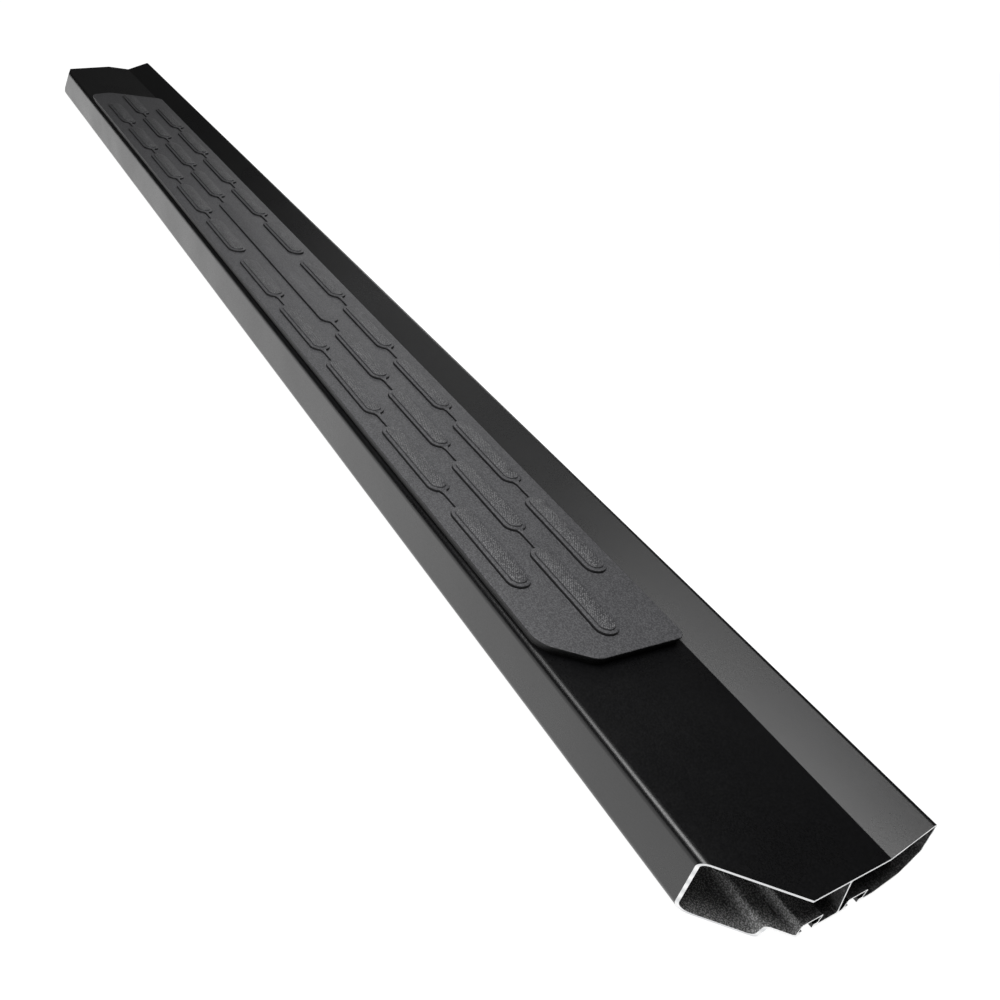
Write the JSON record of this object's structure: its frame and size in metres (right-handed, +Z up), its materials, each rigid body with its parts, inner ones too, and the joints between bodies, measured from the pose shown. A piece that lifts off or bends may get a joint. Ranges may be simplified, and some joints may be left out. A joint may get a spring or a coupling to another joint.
{
  "type": "running board",
  "caption": "Vehicle side step: hollow black extruded board with mitred ends, a moulded step pad with raised treads, and studs that slide in slots underneath.",
  "frame": {"origin": "under the middle of the board, in the plane that it rests on", "axes": "+X along the board towards the end with the open square and mitred cut, -Y the outer front that a foot meets first, +Y towards the vehicle, +Z up"},
  "size_m": [1.778, 0.158, 0.0677],
  "materials": {
    "black_coat": "satin black powder coat on aluminium, bare at the saw cuts",
    "moulded_pad": "fine grained moulded black plastic",
    "foam_tape": "grey acrylic foam tape",
    "nylon": "black moulded nylon",
    "zinc_steel": "bright zinc plate"
  },
  "bodies": {
    "board": {"board_extrusion": "black_coat", "step_pad": "moulded_pad", "tape_front": "foam_tape", "tape_rear": "foam_tape", "pad_clip_front_1": "nylon", "pad_clip_front_2": "nylon", "pad_clip_front_3": "nylon", "pad_clip_front_4": "nylon", "pad_clip_front_5": "nylon", "pad_clip_front_6": "nylon", "pad_clip_rear_1": "nylon", "pad_clip_rear_2": "nylon", "pad_clip_rear_3": "nylon", "pad_clip_rear_4": "nylon", "pad_clip_rear_5": "nylon", "pad_clip_rear_6": "nylon"},
    "slider_front_1": {"slider_plate_front_1": "zinc_steel", "stud_front_1": "zinc_steel"},
    "slider_front_2": {"slider_plate_front_2": "zinc_steel", "stud_front_2": "zinc_steel"},
    "slider_front_3": {"slider_plate_front_3": "zinc_steel", "stud_front_3": "zinc_steel"},
    "slider_rear_1": {"slider_plate_rear_1": "zinc_steel", "stud_rear_1": "zinc_steel"},
    "slider_rear_2": {"slider_plate_rear_2": "zinc_steel", "stud_rear_2": "zinc_steel"},
    "slider_rear_3": {"slider_plate_rear_3": "zinc_steel", "stud_rear_3": "zinc_steel"}
  },
  "joints": [
    {"name": "slider_front_1_slide", "type": "slide", "parent": "board", "child": "slider_front_1", "axis": [1, 0, 0], "range_m": [-0.29, 0.23]},
    {"name": "slider_front_2_slide", "type": "slide", "parent": "board", "child": "slider_front_2", "axis": [1, 0, 0], "range_m": [-0.23, 0.23]},
    {"name": "slider_front_3_slide", "type": "slide", "parent": "board", "child": "slider_front_3", "axis": [1, 0, 0], "range_m": [-0.23, 0.29]},
    {"name": "slider_rear_1_slide", "type": "slide", "parent": "board", "child": "slider_rear_1", "axis": [1, 0, 0], "range_m": [-0.29, 0.23]},
    {"name": "slider_rear_2_slide", "type": "slide", "parent": "board", "child": "slider_rear_2", "axis": [1, 0, 0], "range_m": [-0.23, 0.23]},
    {"name": "slider_rear_3_slide", "type": "slide", "parent": "board", "child": "slider_rear_3", "axis": [1, 0, 0], "range_m": [-0.23, 0.29]}
  ]
}
